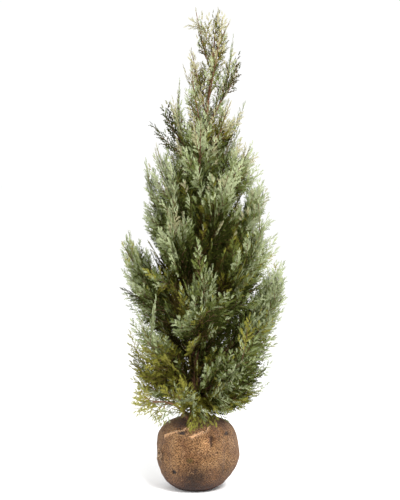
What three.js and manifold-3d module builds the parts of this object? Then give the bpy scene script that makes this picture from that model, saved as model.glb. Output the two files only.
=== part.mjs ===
// A columnar cypress of about 1.4 m, sold on its root ball: a ball of soil wrapped in hessian,
// a leaning trunk, ascending boughs, and one mass of flat sprays at the end of each bough.
// Millimetres, +Z up. The origin is the middle of the ball's flat underside, +X is the viewer's right
// and +Y points away from the viewer.
import * as THREE from "three";
import { mergeVertices } from "three/addons/utils/BufferGeometryUtils.js";
import Module from "manifold-3d";

const wasm = await Module();
wasm.setup();

// Driving dimensions.
const GAP = 0.35; // clear space between touching pieces
const BALL_RADIUS = 137;
const BALL_TOP = 240; // where the flat cut of the trunk stands, at ground level
const FOOT_RADIUS = 60; // the flat underside that the ball stands on
const FOOT_SHIFT = -8; // the ball has slumped a little over its foot
const PLANT_TOP = 1590;

const TRUNK_RADIUS = 14;
const TRUNK_TIP_RADIUS = 2.4;
const TRUNK_TAPER = 0.85; // under 1, the trunk loses more of its girth low down
const FLARE = 9; // how much wider the root flare is than the trunk
const FLARE_HEIGHT = 26;
const TRUNK_FOOT_X = -9;
const TRUNK_LEAN = 76; // how far the tip stands to the right of the foot
const LEAN_POWER = 2.2;
const TRUNK_SWAY = 11; // the gentle bend to and from the viewer
const TRUNK_END = 1482; // above this the leader is a shoot of foliage
const LEADER_FROM = 1456; // shoots that would leave the trunk above this height belong to the leader

const MASSES = 33; // masses of foliage round the trunk, one every golden angle
const BOUGHS = 20; // the lowest of them hang on a bare bough, the others meet the trunk
const GOLDEN_ANGLE = THREE.MathUtils.degToRad(137.508);
const FIRST_ANGLE = THREE.MathUtils.degToRad(255);
const LOWEST = 266; // height on the trunk of the lowest bough
const HIGHEST = 1432; // and of the highest mass
const CROWDING = 1.3; // how much closer together the low ones stand
const LOW_SLOPE = 0.25; // rise for each mm outwards of the lowest bough
const SLOPE_GAIN = 2; // how much steeper the highest one starts
const LOW_CURVE = 0.0006; // how a bough turns up as it goes outwards
const CURVE_GAIN = 0.006;

const BOUGH_RADIUS = 4.6;
const BOUGH_END = 0.36; // share of the way to the crown's edge that is bare bough
const STEM_RADIUS = 2.6;
const STEM_TO_TRUNK = 0.75; // the most that a stem's radius may be beside the trunk's
const TWIG_RADIUS = 1.5;
const TWIGS = 2; // side twigs on the stem of a mass
const LOW_TWIGS = 3; // and on the stems of the big masses low down
const LOW_MASSES = 15;
const TWIG_SHARE = 0.34; // length of the first side twig as a share of the end spray
const TWIG_STEP = 0.05; // and how much less each next one has
const SPREAD = { least: 0.62, most: 0.82 }; // how far side twigs lean out from the stem
const LIFT = 0.22; // and how far they turn up
const TURN = 1.6; // how far the flat sides of the masses turn from level, in all, in radians
const LOW_TURN = 3;

const SPRAY_SHARE = 0.58; // length of the end spray as a share of the whole branch
const SPRAY_LENGTH = { least: 125, most: 235 };
const SIDE_SPRAY = 0.86; // length of the spray that ends a side twig as a share of the end spray
const INNER_SPRAY = 0.74; // and of the spray that stands across it, half way along the twig
const SPRAY_WIDTH = 0.66; // as a share of its length
const SPRAY_THICKNESS = 2.2;
const SPRAY_ROOT = 6; // how deep its foot is sunk in the twig
const SPRAY_TILT = 0.9; // how far a side spray turns about its twig, in all, in radians
const WIDEST = 0.6; // under 1, a spray is widest in its lower half
const TEETH = 3; // side shoots on each edge of a spray
const SHORT_SPRAY = 128; // a spray under this length has one tooth less on each edge
const SWEEP = 0.04; // how far forwards a tooth leans, as a share of the spray's length
const NOTCH = { back: 0.17, open: 0.3 }; // how far behind a tooth its notch is, and how far from the rib
const SMALLER = [1, 0.86, 0.74, 0.62]; // the sizes tried for a side spray, until one finds room
const TWISTS = [0, 0.5, -0.5, 1, -1]; // the turns tried for each size
const BETWEEN = 3; // half of the open space kept between two masses
const LEAN_SHARE = 0.6; // how much the height between two roots counts beside the space round the trunk
const OVER = 6; // how far a tooth may stand out of the crown's edge
const ROOT_VOLUME = 90; // mm3 that a spray may share with its own mass, so that only its foot is fused

const SIDES = { ball: 24, fold: 6, trunk: 8, bough: 5, stem: 4, twig: 3 }; // flat sides round each
const STEPS = { fold: 6, trunk: 15, bough: 2, stem: 3, twig: 1 }; // and rings along it
const RING_CROWDING = 1.8; // puts more of the trunk's rings in the flare

const COLLAR_INNER = 27; // the gathered mouth of the wrap, round the foot of the trunk
const COLLAR_OUTER = 46;
const COLLAR_HEIGHT = 11;
const COLLAR_RUFFLES = 9;
const RUFFLE_DEPTH = 0.06;
const FRONT = THREE.MathUtils.degToRad(-90);
const FOLDS = [
  {
    name: "hessian_fold_left",
    from: { angle: FRONT - 1.0, z: 192 },
    to: { angle: FRONT - 0.24, z: 226 },
    radius: 6,
  },
  {
    name: "hessian_fold_right",
    from: { angle: FRONT - 0.14, z: 202 },
    to: { angle: FRONT + 0.42, z: 226 },
    radius: 6,
  },
  {
    name: "hessian_knot",
    from: { angle: FRONT - 1.16, z: 128 },
    to: { angle: FRONT - 1.02, z: 142 },
    radius: 7,
  },
];

// How far the crown reaches from the trunk on the viewer's right and left, at some heights.
const REACH = [
  { z: 236, right: 118, left: 122 },
  { z: 300, right: 208, left: 196 },
  { z: 400, right: 256, left: 222 },
  { z: 500, right: 264, left: 214 },
  { z: 620, right: 296, left: 250 },
  { z: 720, right: 292, left: 262 },
  { z: 840, right: 268, left: 254 },
  { z: 960, right: 232, left: 182 },
  { z: 1090, right: 190, left: 190 },
  { z: 1200, right: 132, left: 176 },
  { z: 1300, right: 96, left: 120 },
  { z: 1400, right: 95, left: 98 },
  { z: 1500, right: 64, left: 84 },
  { z: 1590, right: 24, left: 88 },
];

const bark = new THREE.MeshStandardMaterial({ color: 0x66503c, roughness: 0.9, metalness: 0 });
const hessian = new THREE.MeshStandardMaterial({ color: 0x8c6a48, roughness: 0.95, metalness: 0 });
const blueGreen = new THREE.MeshStandardMaterial({ color: 0x6f8468, roughness: 0.8, metalness: 0 });
const yellowGreen = new THREE.MeshStandardMaterial({ color: 0x84894b, roughness: 0.8, metalness: 0 });

const UP = new THREE.Vector3(0, 0, 1);
const SIDEWAYS = new THREE.Vector3(0.02, 0.03, 1).normalize(); // not quite upright, as no stem is

// The same numbers between 0 and 1 each time, from a seed.
function seeded(seed) {
  let state = seed >>> 0;
  return () => {
    state = (Math.imul(state, 1664525) + 1013904223) >>> 0;
    return state / 4294967296;
  };
}

// Solids from closed three.js geometries, and back.
function solidOf(geometry) {
  const bare = geometry.clone();
  bare.deleteAttribute("normal");
  bare.deleteAttribute("uv");
  const merged = mergeVertices(bare, 1e-3);
  return new wasm.Manifold(
    new wasm.Mesh({
      numProp: 3,
      vertProperties: merged.attributes.position.array,
      triVerts: new Uint32Array(merged.index.array),
    }),
  );
}

function meshOf(solid, name, material) {
  const { vertProperties, triVerts } = solid.getMesh();
  const geometry = new THREE.BufferGeometry();
  geometry.setAttribute("position", new THREE.BufferAttribute(vertProperties, 3));
  geometry.setIndex(new THREE.BufferAttribute(triVerts, 1));
  geometry.computeVertexNormals();
  const mesh = new THREE.Mesh(geometry, material);
  mesh.name = name;
  return mesh;
}

function boxesMeet(a, b, margin) {
  const p = a.boundingBox();
  const q = b.boundingBox();
  return [0, 1, 2].every((k) => p.min[k] < q.max[k] + margin && q.min[k] < p.max[k] + margin);
}

function meets(solid, others) {
  return others.some((o) => boxesMeet(solid, o, 1) && solid.intersect(o).volume() > 1e-6);
}

// A round limb whose radius changes along its path: a cylinder with its rings laid along the path.
function limb(pointAt, radiusAt, sides, steps) {
  const geometry = new THREE.CylinderGeometry(1, 1, 1, sides, steps);
  const position = geometry.attributes.position;
  const small = 1e-3;
  for (let i = 0; i < position.count; i++) {
    const t = position.getY(i) + 0.5;
    const along = pointAt(Math.min(t + small, 1)).sub(pointAt(Math.max(t - small, 0))).normalize();
    const across = new THREE.Vector3(1, 0.01, 0).cross(along).normalize();
    const third = across.clone().cross(along);
    const r = radiusAt(t);
    const at = pointAt(t)
      .addScaledVector(across, position.getX(i) * r)
      .addScaledVector(third, position.getZ(i) * r);
    position.setXYZ(i, at.x, at.y, at.z);
  }
  return solidOf(geometry);
}

// The root ball: a turned profile with a flat underside and a flat seat for the trunk, made lumpy
// between them.
const BALL_PROFILE = [
  { r: FOOT_RADIUS, z: 0 },
  { r: 86, z: 14 },
  { r: 104, z: 30 },
  { r: 119, z: 52 },
  { r: 130, z: 78 },
  { r: BALL_RADIUS, z: 112 },
  { r: BALL_RADIUS, z: 148 },
  { r: 132, z: 178 },
  { r: 121, z: 202 },
  { r: 101, z: 221 },
  { r: 76, z: 233 },
  { r: 54, z: BALL_TOP },
];

function lump(angle, z) {
  const share = Math.sin((Math.PI * z) / BALL_TOP);
  return share * share * (3 * Math.sin(3 * angle + z / 40) + 2 * Math.sin(5 * angle - z / 23 + 1));
}

function slump(z) {
  return FOOT_SHIFT * (1 - THREE.MathUtils.smoothstep(z, 0, BALL_TOP / 2));
}

function ballSolid(grow = 0) {
  const profile = [new THREE.Vector2(0, -grow)];
  BALL_PROFILE.forEach(({ r, z }) => profile.push(new THREE.Vector2(r + grow, z)));
  profile.at(-1).y += grow;
  profile.push(new THREE.Vector2(0, BALL_TOP + grow));
  const geometry = new THREE.LatheGeometry(profile, SIDES.ball);
  geometry.rotateX(Math.PI / 2);
  const position = geometry.attributes.position;
  for (let i = 0; i < position.count; i++) {
    const x = position.getX(i);
    const y = position.getY(i);
    const r = Math.hypot(x, y);
    const z = position.getZ(i);
    const scale = r > 1 ? (r + lump(Math.atan2(y, x), THREE.MathUtils.clamp(z, 0, BALL_TOP))) / r : 1;
    position.setXYZ(i, x * scale + slump(z), y * scale, z);
  }
  return solidOf(geometry);
}

// A point on the ball's side, at an angle round it and a height.
function onBall(angle, z) {
  const above = BALL_PROFILE.findIndex((row) => row.z > z);
  const [low, high] = [BALL_PROFILE[above - 1], BALL_PROFILE[above]];
  const r = THREE.MathUtils.mapLinear(z, low.z, high.z, low.r, high.r) + lump(angle, z);
  return new THREE.Vector3(r * Math.cos(angle) + slump(z), r * Math.sin(angle), z);
}

// The gathered mouth of the wrap: a ruffled ring on the ball's top, round the foot of the trunk.
function collarSolid() {
  const bottom = BALL_TOP + GAP;
  const profile = [
    { r: COLLAR_INNER, z: 0 },
    { r: COLLAR_OUTER, z: 0 },
    { r: COLLAR_OUTER + 1, z: COLLAR_HEIGHT * 0.45 },
    { r: COLLAR_OUTER - 9, z: COLLAR_HEIGHT },
    { r: COLLAR_INNER + 3, z: COLLAR_HEIGHT * 0.7 },
    { r: COLLAR_INNER, z: 0 },
  ].map(({ r, z }) => new THREE.Vector2(r, bottom + z));
  const geometry = new THREE.LatheGeometry(profile, 3 * COLLAR_RUFFLES);
  geometry.rotateX(Math.PI / 2);
  const position = geometry.attributes.position;
  for (let i = 0; i < position.count; i++) {
    const angle = Math.atan2(position.getY(i), position.getX(i));
    const scale = 1 + RUFFLE_DEPTH * Math.sin(COLLAR_RUFFLES * angle);
    const lift = 1 + 0.25 * Math.sin(2 * angle + 1);
    position.setXYZ(
      i,
      position.getX(i) * scale + TRUNK_FOOT_X,
      position.getY(i) * scale,
      bottom + (position.getZ(i) - bottom) * lift,
    );
  }
  return solidOf(geometry);
}

// A folded edge of the wrap: a ridge that lies on the ball from one place on it to another.
function foldSolid({ from, to, radius }) {
  const ridge = limb(
    (t) => onBall(THREE.MathUtils.lerp(from.angle, to.angle, t), THREE.MathUtils.lerp(from.z, to.z, t)),
    (t) => radius * (0.45 + 0.55 * Math.sin(Math.PI * t)),
    SIDES.fold,
    STEPS.fold,
  );
  return ridge.subtract(ballSolid(GAP));
}

// The trunk: its axis leans to the right, and its radius tapers above a root flare.
function axisAt(z) {
  const u = THREE.MathUtils.clamp((z - BALL_TOP) / (PLANT_TOP - BALL_TOP), 0, 1);
  return new THREE.Vector3(
    TRUNK_FOOT_X + TRUNK_LEAN * u ** LEAN_POWER,
    TRUNK_SWAY * u * Math.sin(2 * Math.PI * u),
    z,
  );
}

function trunkRadius(z) {
  const u = (z - BALL_TOP) / (TRUNK_END - BALL_TOP);
  const flare = FLARE * Math.exp(-(z - BALL_TOP) / FLARE_HEIGHT);
  return THREE.MathUtils.lerp(TRUNK_RADIUS, TRUNK_TIP_RADIUS, u ** TRUNK_TAPER) + flare;
}

function trunkSolid(grow = 0) {
  const bottom = BALL_TOP + GAP - grow;
  const top = TRUNK_END + grow;
  const heightAt = (t) => THREE.MathUtils.lerp(bottom, top, t ** RING_CROWDING);
  return limb(
    (t) => axisAt(heightAt(t)),
    (t) => trunkRadius(Math.max(heightAt(t), BALL_TOP)) + grow,
    SIDES.trunk,
    STEPS.trunk,
  );
}

// How far the crown reaches at a height, towards an angle seen from above.
function reach(z, angle) {
  const last = REACH.length - 2;
  const above = REACH.findIndex((row) => row.z > z);
  const i = above < 0 ? last : Math.min(Math.max(above - 1, 0), last);
  const t = THREE.MathUtils.clamp((z - REACH[i].z) / (REACH[i + 1].z - REACH[i].z), 0, 1);
  const right = THREE.MathUtils.lerp(REACH[i].right, REACH[i + 1].right, t);
  const left = THREE.MathUtils.lerp(REACH[i].left, REACH[i + 1].left, t);
  return THREE.MathUtils.lerp(left, right, (1 + Math.cos(angle)) / 2);
}

// A branch leaves the trunk at its own height and angle, and turns up as it goes outwards.
function rise(out, height) {
  const u = (height - LOWEST) / (HIGHEST - LOWEST);
  return out * (LOW_SLOPE + u * SLOPE_GAIN) + out * out * (LOW_CURVE + u * CURVE_GAIN);
}

function branchPoint({ height, angle }, out) {
  const z = height + rise(out, height);
  const axis = axisAt(z);
  return new THREE.Vector3(axis.x + out * Math.cos(angle), axis.y + out * Math.sin(angle), z);
}

// The height at which a branch through this point would leave the trunk.
function rootHeight(point) {
  const axis = axisAt(point.z);
  const out = Math.hypot(point.x - axis.x, point.y - axis.y);
  const gain = (out * SLOPE_GAIN + out * out * CURVE_GAIN) / (HIGHEST - LOWEST);
  const level = point.z - out * LOW_SLOPE - out * out * LOW_CURVE;
  const height = (level + gain * LOWEST) / (1 + gain);
  return { out, height, angle: Math.atan2(point.y - axis.y, point.x - axis.x) };
}

// How far out a branch goes before it meets the edge of the crown, or its top.
function branchTip(branch) {
  const step = 2;
  let out = step;
  let { z } = branchPoint(branch, out);
  while (out < reach(z, branch.angle) && z < PLANT_TOP - 2 * step) {
    out += step;
    z = branchPoint(branch, out).z;
  }
  return out;
}

const branches = Array.from({ length: MASSES }, (_, i) => {
  const branch = {
    height: THREE.MathUtils.lerp(LOWEST, HIGHEST, (i / (MASSES - 1)) ** CROWDING),
    angle: FIRST_ANGLE + i * GOLDEN_ANGLE,
    random: seeded(1000 + 77 * i),
    twigs: i < LOW_MASSES ? LOW_TWIGS : TWIGS,
    turn: THREE.MathUtils.lerp(LOW_TURN, TURN, i / (MASSES - 1)),
  };
  branch.tip = branchTip(branch);
  branch.onBough = i < BOUGHS;
  branch.inner = branch.onBough ? branch.tip * BOUGH_END : 0;
  branch.pointAt = (out) => branchPoint(branch, out);
  return branch;
});

// The leader goes straight on from the end of the trunk, so it is measured upwards.
const leader = {
  height: TRUNK_END,
  twigs: TWIGS,
  turn: TURN,
  random: seeded(1000 + 77 * MASSES),
  tip: PLANT_TOP - TRUNK_END,
  inner: 0,
  pointAt: (up) => axisAt(TRUNK_END + up),
};

// A point belongs to the branch that is nearest round the trunk and up it.
function away(point, branch) {
  const turn = Math.abs(((point.angle - branch.angle) % (2 * Math.PI)) + 2 * Math.PI) % (2 * Math.PI);
  const arc = Math.min(turn, 2 * Math.PI - turn) * point.out;
  return Math.hypot(arc, LEAN_SHARE * (point.height - branch.height));
}

function inOwnSpace(point, branch) {
  const at = rootHeight(point);
  if (at.out > reach(point.z, at.angle) + OVER || point.z > PLANT_TOP) return false;
  if (branch === leader) return at.height > LEADER_FROM + BETWEEN;
  if (at.height > LEADER_FROM - BETWEEN) return false;
  const own = away(at, branch);
  return branches.every((other) => other === branch || away(at, other) > own + BETWEEN);
}

// A spray: a flat blade whose edges are toothed by its side shoots. It grows along +Y from its foot,
// is widest a third of the way up and tapers to a point, and its teeth sweep forwards.
function sprayOutline(length, width) {
  const teeth = length < SHORT_SPRAY ? TEETH - 1 : TEETH;
  const rib = TWIG_RADIUS * 0.9;
  const half = (s) => (width / 2) * Math.sin(Math.PI * s ** WIDEST);
  const right = [[rib, 0]];
  for (let i = 0; i < teeth; i++) {
    const level = (i + 1) / (teeth + 0.6);
    if (i > 0) right.push([rib + half(level) * NOTCH.open, level - NOTCH.back]);
    right.push([half(level - 2 * SWEEP), level + SWEEP]);
  }
  const left = right.map(([x, s]) => [-x, s]).reverse();
  return [...right, [0, 1], ...left].map(([x, s]) => new THREE.Vector2(x, s * length));
}

function spraySolid(foot, along, face, length, width) {
  const outline = sprayOutline(length, width);
  const geometry = new THREE.ExtrudeGeometry(new THREE.Shape(outline), {
    depth: SPRAY_THICKNESS,
    bevelEnabled: false,
  });
  geometry.translate(0, 0, -SPRAY_THICKNESS / 2);
  const side = along.clone().cross(face).normalize();
  const normal = side.clone().cross(along).normalize();
  const place = new THREE.Matrix4().makeBasis(side, along, normal).setPosition(foot);
  const corners = outline.map((p) => new THREE.Vector3(p.x, p.y, 0).applyMatrix4(place));
  return { solid: solidOf(geometry.applyMatrix4(place)), corners };
}

// One mass: a stem that goes on from its bough, side twigs on alternate sides, and sprays.
function massSolid(branch, obstacles) {
  const { random, pointAt } = branch;
  const tip = pointAt(branch.tip);
  const whole = tip.distanceTo(pointAt(0));
  const length = THREE.MathUtils.clamp(whole * SPRAY_SHARE, SPRAY_LENGTH.least, SPRAY_LENGTH.most);
  const stemStart = branch.inner + GAP / pointAt(branch.inner + 1).distanceTo(pointAt(branch.inner));
  let stemEnd = branch.tip;
  while (pointAt(stemEnd).distanceTo(tip) < length) stemEnd -= 1;
  stemEnd = Math.max(stemEnd, branch.inner + SPRAY_ROOT + 2);
  const stemAt = (t) => pointAt(THREE.MathUtils.lerp(stemStart, stemEnd, t));
  const stemRadius = Math.min(STEM_RADIUS, STEM_TO_TRUNK * trunkRadius(branch.height));
  const stemRadiusAt = (t) => THREE.MathUtils.lerp(stemRadius, Math.min(TWIG_RADIUS, stemRadius), t);
  let mass = limb(stemAt, stemRadiusAt, SIDES.stem, STEPS.stem);
  if (branch !== leader && !branch.onBough) mass = mass.subtract(nearTrunk);

  // Adds a piece unless it would leave the space of this mass, touch a neighbour or cross its own sprays.
  const add = (solid, corners) => {
    if (corners.some((c) => !inOwnSpace(c, branch))) return false;
    if (meets(solid, obstacles)) return false;
    if (solid.intersect(mass).volume() > ROOT_VOLUME) return false;
    mass = mass.add(solid);
    return true;
  };
  const addSpray = (foot, along, face, size) => {
    for (const share of SMALLER) {
      for (const turn of TWISTS) {
        const long = size * share;
        const turned = face.clone().applyAxisAngle(along, turn);
        const { solid, corners } = spraySolid(foot, along, turned, long, long * SPRAY_WIDTH);
        if (add(solid, corners)) return;
      }
    }
  };

  // The flat side of the branch system turns from mass to mass.
  const roll = branch.turn * (random() - 0.5);
  const frameAt = (t) => {
    const along = stemAt(Math.min(t + 0.02, 1)).sub(stemAt(Math.max(t - 0.02, 0))).normalize();
    const side = along.clone().cross(SIDEWAYS).normalize().applyAxisAngle(along, roll);
    return { at: stemAt(t), along, side, face: side.clone().cross(along) };
  };

  const end = frameAt(1);
  const endAlong = tip.clone().sub(end.at).normalize();
  const endFoot = end.at.clone().addScaledVector(endAlong, -SPRAY_ROOT);
  const endLength = tip.distanceTo(endFoot);
  add(spraySolid(endFoot, endAlong, end.face, endLength, length * SPRAY_WIDTH).solid, []);

  for (let i = 0; i < branch.twigs; i++) {
    const t = 0.1 + (0.7 * i) / branch.twigs + 0.1 * random();
    const spread = THREE.MathUtils.lerp(SPREAD.least, SPREAD.most, random());
    const tilt = SPRAY_TILT * (random() - 0.5);
    const hand = i % 2 ? 1 : -1;
    const { at, along, side, face } = frameAt(t);
    const heading = along.clone().addScaledVector(side, hand * spread).addScaledVector(UP, LIFT).normalize();
    const twigLength = length * (TWIG_SHARE - TWIG_STEP * i);
    const twigEnd = at.clone().addScaledVector(heading, twigLength);
    const twig = limb(
      (s) => at.clone().lerp(twigEnd, s),
      (s) => THREE.MathUtils.lerp(TWIG_RADIUS * 1.1, TWIG_RADIUS * 0.8, s),
      SIDES.twig,
      STEPS.twig,
    );
    if (!add(twig, [twigEnd])) continue;
    const turned = face.clone().applyAxisAngle(heading, tilt);
    addSpray(twigEnd.clone().addScaledVector(heading, -SPRAY_ROOT), heading, turned, length * SIDE_SPRAY);
    const across = along.clone().addScaledVector(side, -hand / 4).addScaledVector(face, 1 / 2).normalize();
    addSpray(at.clone().lerp(twigEnd, 1 / 2), across, side, length * INNER_SPRAY);
  }
  return mass;
}

const group = new THREE.Group();
const ball = ballSolid();
const trunk = trunkSolid();
group.add(meshOf(ball, "root_ball", hessian));
group.add(meshOf(trunk, "trunk", bark));

const wrap = [collarSolid(), ...FOLDS.map(foldSolid)];
["hessian_collar", ...FOLDS.map((fold) => fold.name)].forEach((name, i) => {
  group.add(meshOf(wrap[i], name, hessian));
});

const nearTrunk = trunkSolid(GAP);
const boughs = branches.slice(0, BOUGHS).map((branch) => {
  const whole = limb(
    (t) => branchPoint(branch, t * branch.inner),
    (t) => THREE.MathUtils.lerp(BOUGH_RADIUS, STEM_RADIUS, t),
    SIDES.bough,
    STEPS.bough,
  );
  return whole.subtract(nearTrunk);
});
boughs.forEach((bough, i) => {
  group.add(meshOf(bough, `bough_${String(i + 1).padStart(2, "0")}`, bark));
});

const placed = [ballSolid(GAP), nearTrunk, ...wrap, ...boughs];
[...branches, leader].forEach((branch, i) => {
  const mass = massSolid(branch, placed);
  placed.push(mass);
  const name = branch === leader ? "foliage_leader" : `foliage_${String(i + 1).padStart(2, "0")}`;
  group.add(meshOf(mass, name, i % 4 ? blueGreen : yellowGreen));
});

export default group;
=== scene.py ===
import math

import bmesh
import bpy
import numpy as np
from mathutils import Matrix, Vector, noise


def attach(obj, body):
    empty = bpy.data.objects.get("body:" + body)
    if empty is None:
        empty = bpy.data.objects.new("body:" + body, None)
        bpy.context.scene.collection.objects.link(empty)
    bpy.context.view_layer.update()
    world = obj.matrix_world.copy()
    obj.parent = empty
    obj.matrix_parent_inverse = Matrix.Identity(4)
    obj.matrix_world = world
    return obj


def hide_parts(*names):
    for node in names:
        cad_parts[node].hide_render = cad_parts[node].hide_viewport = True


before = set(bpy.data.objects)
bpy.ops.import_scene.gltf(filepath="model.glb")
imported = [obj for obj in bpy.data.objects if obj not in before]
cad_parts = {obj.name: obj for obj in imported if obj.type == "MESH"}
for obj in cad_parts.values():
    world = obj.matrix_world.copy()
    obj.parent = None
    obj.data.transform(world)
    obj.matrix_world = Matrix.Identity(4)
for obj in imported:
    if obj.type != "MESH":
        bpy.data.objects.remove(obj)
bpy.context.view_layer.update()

# The root ball is soil and roots, wrapped in one square of coarse jute hessian. Its weight has pressed
# it flat below and slumped it to one side, and the cloth pulled up to the trunk lies in pleats over its
# shoulder. It is spun from its profile, then its bumps, hollows and pleats are pressed in.
ball_top = 0.240
ball_profile = [
    (0.060, 0.000), (0.086, 0.014), (0.104, 0.030), (0.119, 0.052), (0.130, 0.078), (0.137, 0.112),
    (0.137, 0.148), (0.132, 0.178), (0.121, 0.202), (0.101, 0.221), (0.076, 0.233), (0.054, ball_top),
]
ball_foot_shift = -0.008
front = -math.pi / 2
up = Vector((0, 0, 1))
dents = [  # place on the front, as x and z, then half width, half height and depth
    (0.046, 0.180, 0.005, 0.018, 0.0060),
    (0.026, 0.170, 0.022, 0.026, -0.0045),
    (0.098, 0.198, 0.008, 0.005, 0.0060),
    (0.070, 0.200, 0.010, 0.007, 0.0045),
    (-0.056, 0.208, 0.012, 0.007, 0.0080),
    (-0.077, 0.076, 0.005, 0.005, 0.0060),
    (-0.012, 0.064, 0.030, 0.024, 0.0025),
    (0.020, 0.130, 0.050, 0.008, 0.0022),
    (-0.060, 0.160, 0.008, 0.040, 0.0025),
    (0.092, 0.110, 0.006, 0.050, 0.0035),
    (0.060, 0.060, 0.030, 0.006, 0.0025),
    (-0.096, 0.110, 0.007, 0.030, 0.0030),
]


def smoothstep(x, low, high):
    """0 up to low and 1 from high on, with a smooth rise between them."""
    t = min(max((x - low) / (high - low), 0), 1)
    return t * t * (3 - 2 * t)


def lerp(a, b, t):
    """The value at t from a to b."""
    return a + (b - a) * t


def between(points, t):
    """A point on the smooth curve through the points, from t = 0 to 1."""
    at = t * (len(points) - 1)
    i = min(int(at), len(points) - 2)
    u = at - i
    p0, p1, p2, p3 = (points[min(max(i + k, 0), len(points) - 1)] for k in (-1, 0, 1, 2))
    return [
        0.5 * (2 * b + (c - a) * u + (2 * a - 5 * b + 4 * c - d) * u * u
               + (3 * b - a - 3 * c + d) * u ** 3)
        for a, b, c, d in zip(p0, p1, p2, p3)
    ]


def ball_radius(z):
    """The radius of the plain ball at a height."""
    radii, heights = zip(*ball_profile)
    return float(np.interp(z, heights, radii))


def ball_lump(angle, z):
    """The broad lumps of the ball, which fade out at its top and underside."""
    share = math.sin(math.pi * min(max(z / ball_top, 0), 1)) ** 2
    broad = 0.003 * math.sin(3 * angle + z / 0.040) + 0.002 * math.sin(5 * angle - z / 0.023 + 1)
    return share * broad


def ball_shift(z):
    """How far the foot of the ball has slumped to one side."""
    return ball_foot_shift * (1 - smoothstep(z, 0, ball_top / 2))


def ball_relief(angle, z, r):
    """How far the cloth stands out of the plain ball, with its pleats, creases and hollows."""
    x, y = r * math.cos(angle), r * math.sin(angle)
    rough = noise.noise(Vector((x, y, z)) * 28) * 0.0022 + noise.noise(Vector((x, y, z)) * 75) * 0.0010
    pleat_waves = math.sin(19 * angle + 2.5 * noise.noise(Vector((x, y, 0)) * 18))
    pleats = 0.0042 * smoothstep(z, 0.15, 0.235) * (abs(pleat_waves) - 0.6)
    tucks = -0.0030 * smoothstep(0.06 - z, 0, 0.06) * abs(math.sin(13 * angle + 1.3))
    relief = rough + pleats + tucks
    if y < 0:
        for at_x, at_z, wide, high, deep in dents:
            relief -= deep * math.exp(-((x - at_x) / wide) ** 2 - ((z - at_z) / high) ** 2)
    return relief


def on_ball(angle, z, out=0.0):
    """A point on the cloth, or a little outside it."""
    r = ball_radius(z)
    r += ball_lump(angle, z) + ball_relief(angle, z, r) + out
    return Vector((r * math.cos(angle) + ball_shift(z), r * math.sin(angle), z))


def material(name, roughness, sheen=0.0, specular=0.3):
    """A new material, with its tree and its shader."""
    made = bpy.data.materials.new(name)
    made.use_nodes = True
    tree = made.node_tree
    shader = tree.nodes["Principled BSDF"]
    shader.inputs["Roughness"].default_value = roughness
    shader.inputs["Sheen Weight"].default_value = sheen
    shader.inputs["Specular IOR Level"].default_value = specular
    return made, tree, shader


def colour(red, green, blue):
    """A colour given as it looks on a screen, from 0 to 255, as the shader's linear value."""
    parts = (red, green, blue)
    return tuple(((c / 255 + 0.055) / 1.055) ** 2.4 if c > 10 else c / 3295 for c in parts) + (1,)


def plain_material(name, base, roughness, sheen=0.0, specular=0.3):
    """A material of one colour."""
    made, tree, shader = material(name, roughness, sheen, specular)
    shader.inputs["Base Color"].default_value = base
    return made


def node(tree, kind, **inputs):
    """A new shader node, with its inputs set by name."""
    made = tree.nodes.new("ShaderNode" + kind)
    for name, value in inputs.items():
        made.inputs[name.replace("_", " ")].default_value = value
    return made


def math_node(tree, operation, a, b=0.5):
    """The result of one sum on two values or other nodes' results."""
    made = tree.nodes.new("ShaderNodeMath")
    made.operation = operation
    for socket, value in zip(made.inputs, (a, b)):
        if isinstance(value, bpy.types.NodeSocket):
            tree.links.new(value, socket)
        else:
            socket.default_value = value
    return made.outputs[0]


def ramp(tree, factor, stops):
    """The colour that stops of place and colour give for a factor."""
    made = tree.nodes.new("ShaderNodeValToRGB")
    tree.links.new(factor, made.inputs["Fac"])
    elements = made.color_ramp.elements
    while len(elements) < len(stops):
        elements.new(0.5)
    for element, (place, value) in zip(elements, stops):
        element.position = place
        element.color = value
    return made.outputs["Color"]


def mix(tree, factor, a, b, blend="MIX"):
    made = tree.nodes.new("ShaderNodeMix")
    made.data_type = "RGBA"
    made.blend_type = blend
    for socket, value in zip((made.inputs[0], made.inputs[6], made.inputs[7]), (factor, a, b)):
        if isinstance(value, bpy.types.NodeSocket):
            tree.links.new(value, socket)
        else:
            socket.default_value = value
    return made.outputs[2]


def noise_at(tree, place, scale, detail=3.0, roughness=0.55):
    made = node(tree, "TexNoise", Scale=scale, Detail=detail, Roughness=roughness)
    tree.links.new(place, made.inputs["Vector"])
    return made.outputs["Fac"]


def patch(tree, place, at, size):
    """1 at a place on the piece, falling to 0 at its size."""
    mapping = node(tree, "Mapping")
    mapping.vector_type = "TEXTURE"
    mapping.inputs["Location"].default_value = at
    mapping.inputs["Scale"].default_value = size
    tree.links.new(place, mapping.inputs["Vector"])
    ball = node(tree, "TexGradient")
    ball.gradient_type = "SPHERICAL"
    tree.links.new(mapping.outputs["Vector"], ball.inputs["Vector"])
    return ball.outputs["Fac"]


def ridges(tree, way, turn):
    """1 on top of each thread and 0 between two, for threads that lie side by side."""
    return math_node(tree, "ABSOLUTE", math_node(tree, "SINE", math_node(tree, "MULTIPLY", way, turn)))


def weighted(tree, a, weight_a, b, weight_b):
    """The sum of two values, each times its weight."""
    parts = (math_node(tree, "MULTIPLY", a, weight_a), math_node(tree, "MULTIPLY", b, weight_b))
    return math_node(tree, "ADD", *parts)


def tinted(tree, cloth, factor, stops):
    """The cloth's colour times the one that the stops give for a factor."""
    return mix(tree, 1.0, cloth, ramp(tree, factor, stops), "MULTIPLY")


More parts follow.
